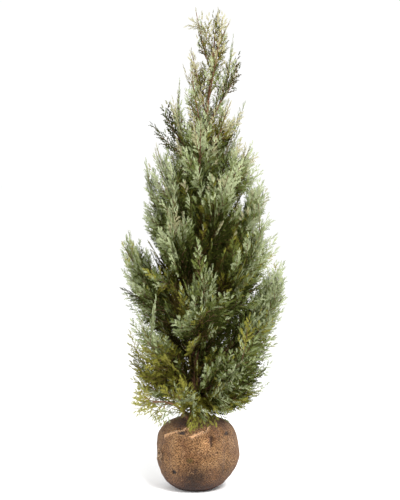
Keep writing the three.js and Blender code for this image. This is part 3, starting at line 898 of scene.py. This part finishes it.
def grow_mass(branch):
    """Long shoots all along the stem of one mass, each with its side shoots."""
    draws = branch["random"]
    roll = branch["turn"] * (next(draws) - 0.5)
    stem = lambda t: branch["point"](lerp(branch["inner"] * 0.6, branch["tip"], t))
    whole = (stem(1) - stem(0)).length
    level = heading_of(stem, 0.6).cross(almost_up)
    longest = lerp(*shoot_lengths, branch["low"])
    across = turned(level, heading_of(stem, 0.6), roll)
    outer = lambda s: stem(lerp(0.18, 0.97, s))
    feather(outer, across, 0.0010, draws, new_tone(draws), bare=0.0, full=1.1)
    count = round(whole / lerp(*shoot_spacing, min(branch["low"] * 1.7, 1)))
    for i in range(count):
        t = 0.03 + 0.90 * (i + 0.6 * next(draws)) / count
        length = min(longest, 0.035 + 0.56 * (1 - t) * whole) * lerp(0.8, 1.2, next(draws))
        turn = roll + (math.pi / 2 if i % 3 == 2 else 0) + 1.1 * (next(draws) - 0.5)
        across = turned(level, heading_of(stem, t), turn) * (1 if i % 2 else -1)
        tone = new_tone(draws)
        open_above = 0.16 * smoothstep(stem(t).z, 0.95, 1.25)
        spread = lerp(0.28, 0.56, next(draws))
        share = lerp(0.80, 1.02, next(draws)) - open_above
        grown, side = fork(stem, t, across, spread, length, share, 0.0013, draws, tone)
        if grown is not None:
            grow_plume(grown, side, length, 1.0 - open_above, draws, tone)


for branch in branches:
    grow_mass(branch)

# Shoots stand all round the trunk too. They are brown and shaded at their feet and fill the crown
# between the limbs.
draws = seeded(77)
trunk_shoots = 230
for i in range(trunk_shoots):
    low = 1 - i / trunk_shoots
    z = lerp(1.22, ball_top + 0.022, low ** 0.66)
    angle = 0.4 + i * golden_angle
    out = reach(z, angle)
    heading = Vector((math.cos(angle), math.sin(angle), lerp(1.9, 0.55, low))).normalized()
    start = axis_at(z)
    tip = within(start, heading, out * lerp(0.6, 1.05, next(draws)), lerp(0.60, 0.86, next(draws)))
    if tip is None:
        continue
    tone = (0.9 * next(draws), next(draws))
    grown = bowed(start, tip, 0.08)
    side = turned(heading.cross(up), heading, 3 * next(draws))
    feather(grown, side, 0.0015, draws, tone, bare=0.25)
    grow_plume(grown, side, (tip - start).length, 0.85, draws, tone)

# The lowest shoots lean out over the shoulder of the ball and hide the trunk's foot. They are
# yellow-green, and none grows at the front left, where the ball shows bare up to its mouth.
skirt_shoots = 80
bare_left = -0.012  # no tip ends left of this and in front of the next
bare_front = 0.02
for i in range(skirt_shoots):
    angle = i * golden_angle
    out = lerp(0.060, 0.200, next(draws))
    start = axis_at(lerp(0.265, 0.38, next(draws)))
    away = Vector((math.cos(angle), math.sin(angle), 0))
    tip = Vector((start.x, start.y, 0)) + away * out
    tip.z = max(lerp(0.243, 0.276, out / 0.19), hem(tip)) + 0.03 * next(draws)
    if tip.x < bare_left and tip.y < bare_front:
        continue
    grown = bowed(start, tip, -0.12)
    tone = (lerp(0.4, 1.0, next(draws)), lerp(0.5, 1.2, next(draws)))
    side = turned(away.cross(up), away, 1.2 * (next(draws) - 0.5))
    feather(grown, side, 0.0014, draws, tone, bare=0.2)
    grow_plume(grown, side, (tip - start).length, 0.95, draws, tone)

# A few plumes hang down in front of the cloth as far as its folds. They are open and small, and their
# tips stand about a centimetre off the ball.
hanging_tips = [  # the turn round the ball from its front, the height, how far off the cloth, how light
    (-0.24, 0.222, 0.010, -0.4), (-0.18, 0.214, 0.009, 0.1), (-0.10, 0.220, 0.009, -0.1),
    (-0.02, 0.224, 0.011, -0.3), (0.16, 0.226, 0.012, -0.3), (0.40, 0.225, 0.012, -0.4),
    (0.66, 0.227, 0.013, 0.1),
]
for i, (angle, z, off, light) in enumerate(hanging_tips):
    start = axis_at(0.304 + 0.010 * (i % 4))
    tip = on_ball(front + angle, z, off)
    grown = bowed(start, tip, -0.30)
    tone = (light + 0.3 * next(draws), lerp(0.8, 1.3, next(draws)))
    side = turned(almost_up.cross(tip - start), (tip - start).normalized(), 0.5 * (next(draws) - 0.5))
    feather(grown, side, 0.0014, draws, tone, bare=0.2, full=0.65, sparse=0.3)
    grow_plume(grown, side, 0.10, 0.95, draws, tone, 0.6, 0.4)

# One low bough leaves the foot of the trunk at the left and lies almost level over the ball. It is bare
# and brown at its foot, and holds a few thin, open sprays apart from the rest of the crown.
low_bough_radius = 0.0088
low_bough = bowed(Vector((-0.024, -0.052, 0.230)), Vector((-0.150, -0.070, 0.302)), -0.22)
shoots.append(([low_bough(k / 4) for k in range(twig_points)], low_bough_radius))
low_bough_forks = 5
low_bough_twigs = [  # where along the bough, where each ends as x and z, and its shade and warmth
    (0.45, (-0.134, 0.236), 0.9, 0.0),
    (0.60, (-0.150, 0.258), 0.5, 0.9),
    (0.74, (-0.202, 0.271), 0.9, 1.6),
    (0.84, (-0.186, 0.292), 0.6, 1.5),
    (0.90, (-0.200, 0.334), 0.9, 1.4),
    (0.96, (-0.196, 0.316), 0.5, 1.2),
]
for s, (x, z), light, warm in low_bough_twigs:
    start = low_bough(s)
    tip = Vector((x, start.y + 0.02 * (next(draws) - 0.5), z))
    side = turned(almost_up, (tip - start).normalized(), 0.5 * (next(draws) - 0.5))
    grown = bowed(start, tip, -0.08)
    feather(grown, side, 0.0013, draws, (light, warm), bare=0.3, sparse=0.7)
    for k in range(low_bough_forks):
        share = lerp(0.30, 0.80, k / 4)
        heading = (heading_of(grown, share) + side * (0.7 if k % 2 else -0.7)).normalized()
        end = grown(share) + heading * 0.045 * (1.3 - share)
        feather(bowed(grown(share), end, 0.05), side, 0.0009, draws, (light, warm), full=0.8, sparse=0.6)

# The tips that stand out of the crown all round it, and those that the photograph shows on its outline,
# as x and z in metres. Each is the end of a long plume off the limb that comes nearest below it.
outline_tips = [
    (-0.158, 1.222), (-0.172, 1.098), (-0.172, 0.880), (-0.233, 0.843), (-0.230, 0.812), (-0.250, 0.760),
    (-0.256, 0.676), (-0.228, 0.534), (-0.222, 0.444), (-0.226, 0.374), (-0.205, 0.350),
    (0.143, 1.168), (0.190, 1.122), (0.206, 1.082), (0.220, 1.032), (0.236, 0.988), (0.246, 0.886),
    (0.269, 0.850), (0.289, 0.760), (0.294, 0.640), (0.250, 0.545), (0.266, 0.508), (0.266, 0.478),
    (0.246, 0.446), (0.252, 0.418), (0.232, 0.396), (0.244, 0.350), (0.212, 0.322), (0.176, 0.300),
    (0.190, 0.335), (0.117, 0.262), (0.270, 0.810), (0.276, 0.700), (0.284, 0.670), (0.288, 0.610),
    (0.280, 0.575), (0.235, 0.740), (0.225, 0.660), (0.200, 0.600), (0.160, 0.640), (0.185, 0.690),
    (0.205, 0.725), (0.225, 0.765), (0.218, 0.745), (0.236, 0.715), (0.214, 0.690), (0.240, 0.660),
    (0.262, 0.765), (0.250, 0.735), (0.268, 0.735), (0.240, 0.785), (0.255, 0.705), (0.232, 0.705),
    (-0.014, 1.448), (-0.050, 1.408), (-0.061, 1.370), (-0.068, 1.324), (-0.084, 1.306),
    (-0.106, 1.292), (-0.120, 1.278), (0.118, 1.508), (0.116, 1.461), (0.139, 1.452),
    (0.139, 1.402), (0.159, 1.290), (0.150, 1.255),
]
# The plumes to these tips are painted in shade, with a very dark tone.
painted_shade_tips = [
    (-0.106, 1.292), (-0.120, 1.278), (-0.158, 1.222), (-0.256, 0.676), (0.139, 1.452), (0.139, 1.402),
]
painted_shade_tone = (-1.5, 0.3)
open_top = 1.1  # above this height the tips stand alone, with sky between them
plume_lengths = (0.13, 0.20)
ring_tips = 150
turn_cost = 0.45  # how much a turn off the limb counts against a length in metres
limb_steps = 40
limb_points = [(axis_at(lerp(0.30, 1.56, k / 60)), up) for k in range(61)]
for branch in branches:
    for k in range(4, limb_steps):
        out = branch["tip"] * k / limb_steps
        here, ahead = branch["point"](out), branch["point"](out + 0.004)
        limb_points.append((here, (ahead - here).normalized()))
limb_at = np.array([point for point, along in limb_points])
limb_along = np.array([along for point, along in limb_points])


def nearest_limb(tip, wanted):
    """The place on a limb from which a shoot of the wanted length reaches the tip with least turn."""
    ways = np.array(tip) - limb_at
    lengths = np.linalg.norm(ways, axis=1) + 1e-9
    turns = 1 - np.sum(ways * limb_along, axis=1) / lengths
    return Vector(limb_at[np.argmin(np.abs(lengths - wanted) + turn_cost * turns)])


def grow_tip(tip, wanted, tone, draws):
    """A long plume with its side shoots, from the nearest limb to the tip."""
    start = nearest_limb(tip, wanted)
    heading = (tip - start).normalized()
    grown = bowed(start, start.lerp(tip, 0.93), 0.06)
    side = turned(up.cross(Vector((heading.y, -heading.x, 0.1))), heading, 1.8 * (next(draws) - 0.5))
    feather(grown, side, 0.0014, draws, tone, bare=0.12)
    grow_plume(grown, side, (tip - start).length, 1.02, draws, tone)


draws = seeded(95)
for x, z in outline_tips:
    if (x, z) in painted_shade_tips:
        tone = painted_shade_tone
    else:
        tone = (lerp(0.4, 1.0 if z < open_top else 0.6, next(draws)), next(draws))
    tip = Vector((x, 0.09 * (next(draws) - 0.5), z))
    grow_tip(tip, lerp(*plume_lengths, next(draws)), tone, draws)
    if z < open_top:
        tone = (lerp(0.1, 0.8, next(draws)), next(draws))
        near = Vector((0.88 * x, 0.16 * (next(draws) - 0.5), z - 0.03))
        grow_tip(near, lerp(*plume_lengths, next(draws)), tone, draws)
for i in range(ring_tips):
    z = lerp(0.27, 1.12, ((i + 0.5) / ring_tips) ** 1.2)
    angle = 0.7 + i * golden_angle
    out = reach(z, angle) * lerp(0.94, 1.03, next(draws))
    tip = axis_at(z) + Vector((out * math.cos(angle), out * math.sin(angle), 0))
    tip.y = min(tip.y, crown_back + 0.01)
    grow_tip(tip, lerp(0.12, 0.19, next(draws)), (lerp(0.3, 1.0, next(draws)), next(draws)), draws)

# The leader's tip forks and nods to the left, and thin side shoots leave it at a steep angle. They are
# open, so that the sky shows between them.
leader_shoots = [  # where it leaves, then where it ends, as x and z
    ((0.062, 1.480), (0.067, 1.564)),
    ((0.048, 1.500), (-0.018, 1.554)),
    ((0.026, 1.528), (-0.034, 1.536)),
    ((0.060, 1.490), (0.088, 1.548)),
    ((0.055, 1.440), (0.020, 1.510)),
    ((0.052, 1.410), (0.010, 1.470)),
    ((0.052, 1.400), (0.072, 1.500)),
]
for (start_x, start_z), (tip_x, tip_z) in leader_shoots:
    start = Vector((start_x, axis_at(start_z).y, start_z))
    tip = Vector((tip_x, start.y + 0.03 * (next(draws) - 0.5), tip_z))
    side = Vector((1, 0.5 * (next(draws) - 0.5), 0))
    feather(bowed(start, tip, -0.05), side, 0.0011, draws, (0.5, 0.8), bare=0.05, full=0.62, sparse=0.15)

# A few short plumes stand in front of the trunk's foot and hide it. Some are yellow-green, and others
# stand in shade.
front_tips = [  # where each ends, as x and z, and its shade and warmth
    (-0.045, 0.350, 0.8, 1.3), (-0.028, 0.322, 0.9, 1.2), (0.010, 0.365, 0.7, 0.3),
    (0.024, 0.415, 0.5, 0.2), (-0.006, 0.468, 0.4, 0.5), (0.046, 0.330, 0.5, 0.6),
    (-0.080, 0.385, 0.3, 0.9), (0.004, 0.318, 0.7, 0.9),
]
draws = seeded(96)
for x, z, light, warm in front_tips:
    grow_tip(Vector((x, -0.11 - 0.03 * next(draws), z)), 0.12, (light, warm), draws)

# The wood of the shoots is thin, smooth and red-brown. Each is a slim tube along its path, and they
# are joined in one mesh.
twig_taper = 0.20
twig_sides = 3
twig_wood, twig_tree, twig_shader = material("red_brown_twigs", 0.75)
twig_place = node(twig_tree, "TexCoord").outputs["Object"]
twig_mottle = noise_at(twig_tree, twig_place, 120.0, 2.0)
twig_colour = ramp(twig_tree, twig_mottle, [(0.35, colour(66, 46, 32)), (0.62, colour(112, 80, 56))])
twig_tree.links.new(twig_colour, twig_shader.inputs["Base Color"])
bm = bmesh.new()
for points, thick in shoots:
    tube(bm, points, [thick * (1 - twig_taper * k) for k in range(twig_points)], twig_sides)
bmesh.ops.recalc_face_normals(bm, faces=bm.faces)
piece_from(bm, "twigs", twig_wood, "bark")

# The foliage is flat sprays of tiny scale leaves, so thin that each shoot is a slim folded blade here.
# A spray is an axis with blades on alternate sides. Long, middling and short ones are drawn by one rule,
# and their copies, each of one plain hue, are joined from arrays into a few big pieces.
blade_width = 0.0023
shaded_width = 0.0036
blade_fold = 0.35
blade_fullest = 0.28
axis_fullest = 0.14
axis_wider = 1.15  # than the blades at its sides
spray_kinds = {  # by length, the pairs of blades in the light and in the shade
    0.044: (5, 3),
    0.030: (4, 3),
    0.018: (3, 2),
}
shapes_each = 4
foliage_nodes = [f"foliage_{i + 1:02d}" for i in range(masses)] + ["foliage_leader"]
piece_triangles = 150000
spray_triangles = 18  # on a middling spray
most_sprays = piece_triangles // spray_triangles


def spray_shape(length, pairs, thick, random):
    """Corner rows of one spray of length 1: each blade is its foot, its two edges and its tip."""
    blades = []

    def blade(y, angle, long, width, fullest):
        ahead = np.array([math.sin(angle), math.cos(angle), 0])
        beside = np.array([math.cos(angle), -math.sin(angle), 0])
        lean = 1.3 * (random.random() - 0.5)
        across = beside * math.cos(lean) + np.array([0, 0, math.sin(lean)])
        rise = np.array([0, 0, 0.16 * (random.random() - 0.5) * long])
        foot = np.array([0, y, 0])
        widest = foot + ahead * long * fullest + rise * fullest - np.array([0, 0, width * blade_fold])
        half = across * width / 2
        blades.append([foot, widest - half, widest + half, foot + ahead * long + rise])

    width = thick / length
    blade(0, 0, 1.0, width * axis_wider, axis_fullest)
    for i in range(2 * pairs):
        y = 0.06 + 0.82 * (i + 0.5 * random.random()) / (2 * pairs)
        angle = (1 if i % 2 else -1) * lerp(0.50, 0.80, random.random())
        long = (0.17 * (1 - y) ** 0.8 + 0.004 / length) * lerp(0.85, 1.2, random.random())
        blade(y, angle, long, width, blade_fullest)
    corners = np.array(blades)
    corners[..., 2] += 0.12 * corners[..., 1] ** 2
    return corners.reshape(-1, 3)


shape_random = np.random.default_rng(23)
lit_shapes = [[spray_shape(length, pairs[0], blade_width, shape_random) for k in range(shapes_each)]
              for length, pairs in spray_kinds.items()]
shaded_shapes = [[spray_shape(length, pairs[1], shaded_width, shape_random) for k in range(shapes_each)]
                 for length, pairs in spray_kinds.items()]


def joined_sprays(name, chosen, spray_shapes, finish, slot):
    """One mesh of all these sprays, from arrays of their corners and faces."""
    corner_sets = []
    lengths = np.array(list(spray_kinds))
    sizes = np.array([row[3] for row in chosen])
    kinds = np.argmin(np.abs(sizes[:, None] - lengths[None, :]), axis=1)
    for kind, shapes in enumerate(spray_shapes):
        for k, shape in enumerate(shapes):
            rows = [row for i, row in enumerate(chosen) if kinds[i] == kind and i % shapes_each == k]
            if not rows:
                continue
            place, along, flat = (np.array([row[part] for row in rows])[:, None, :] for part in range(3))
            size = np.array([row[3] for row in rows])[:, None, None]
            normal = np.cross(flat, along)
            corners = place + size * (shape[None, :, :1] * flat + shape[None, :, 1:2] * along
                                      + shape[None, :, 2:] * normal)
            corner_sets.append(corners.reshape(-1, 4, 3))
    blades = np.concatenate(corner_sets)
    first = 4 * np.arange(len(blades))[:, None, None]
    faces = (first + np.array([[0, 3, 1], [0, 2, 3]])).reshape(-1, 3)
    mesh = bpy.data.meshes.new(name)
    mesh.vertices.add(4 * len(blades))
    mesh.vertices.foreach_set("co", blades.ravel())
    mesh.loops.add(3 * len(faces))
    mesh.loops.foreach_set("vertex_index", faces.ravel().astype(np.int32))
    mesh.polygons.add(len(faces))
    mesh.polygons.foreach_set("loop_start", np.arange(0, 3 * len(faces), 3, dtype=np.int32))
    mesh.update(calc_edges=True)
    piece_of(mesh, name, finish, slot, *foliage_nodes)


for hue, (base, slot, shaded) in hues.items():
    leaf = plain_material(hue + "_leaves", base, 0.7, specular=0.05 if shaded else 0.15)
    chosen = [row for row in sprays if row[4] == hue]
    shapes = shaded_shapes if shaded else lit_shapes
    for i, first in enumerate(range(0, len(chosen), most_sprays)):
        joined_sprays(f"{hue}_sprays_{i + 1}", chosen[first:first + most_sprays], shapes, leaf, slot)

# The studio is a plain pale floor under an even white sky, with soft light from above and in front.
# The camera is far enough away that the plant stands upright in its frame.
floor_size = 40
sky_strength = 1.03
bm = bmesh.new()
bmesh.ops.create_grid(bm, x_segments=1, y_segments=1, size=floor_size)
studio_floor = bpy.data.objects.new("studio_floor", bpy.data.meshes.new("studio_floor"))
bm.to_mesh(studio_floor.data)
bm.free()
bpy.context.scene.collection.objects.link(studio_floor)
pale = plain_material("pale_floor", (0.98, 0.98, 0.98, 1), 0.9, specular=0.1)
studio_floor.data.materials.append(pale)

world = bpy.data.worlds.new("studio")
world.use_nodes = True
world.node_tree.nodes["Background"].inputs["Color"].default_value = (1, 1, 1, 1)
world.node_tree.nodes["Background"].inputs["Strength"].default_value = sky_strength
bpy.context.scene.world = world


def soft_light(name, place, aim, size, power):
    """A square area light at a place, turned towards its aim."""
    lamp = bpy.data.lights.new(name, "AREA")
    lamp.size = size
    lamp.energy = power
    held = bpy.data.objects.new(name, lamp)
    held.location = place
    held.rotation_euler = (Vector(aim) - Vector(place)).to_track_quat("-Z", "Y").to_euler()
    bpy.context.scene.collection.objects.link(held)


soft_light("key", (1.3, -2.6, 3.2), (0, 0, 0.8), 1.6, 260)
soft_light("fill", (-2.6, -2.0, 1.6), (0, 0, 0.8), 2.4, 50)

image_width = 400
image_height = 500
metres_a_pixel = 0.00332
origin_pixel = (197.7, 490.8)  # where the middle of the ball's underside falls in the frame
view_distance = 4.8
view_rise = math.radians(4.0)
sensor_height = 36
aim = Vector(((image_width / 2 - origin_pixel[0]) * metres_a_pixel, 0,
              (origin_pixel[1] - image_height / 2) * metres_a_pixel))
camera_data = bpy.data.cameras.new("camera")
camera_data.sensor_fit = "VERTICAL"
camera_data.sensor_height = sensor_height
camera_data.lens = sensor_height * view_distance / (image_height * metres_a_pixel)
camera = bpy.data.objects.new("camera", camera_data)
camera.location = aim + view_distance * Vector((0, -math.cos(view_rise), math.sin(view_rise)))
camera.rotation_euler = (aim - camera.location).to_track_quat("-Z", "Y").to_euler()
bpy.context.scene.collection.objects.link(camera)
bpy.context.scene.camera = camera
bpy.context.scene.view_settings.view_transform = "Standard"
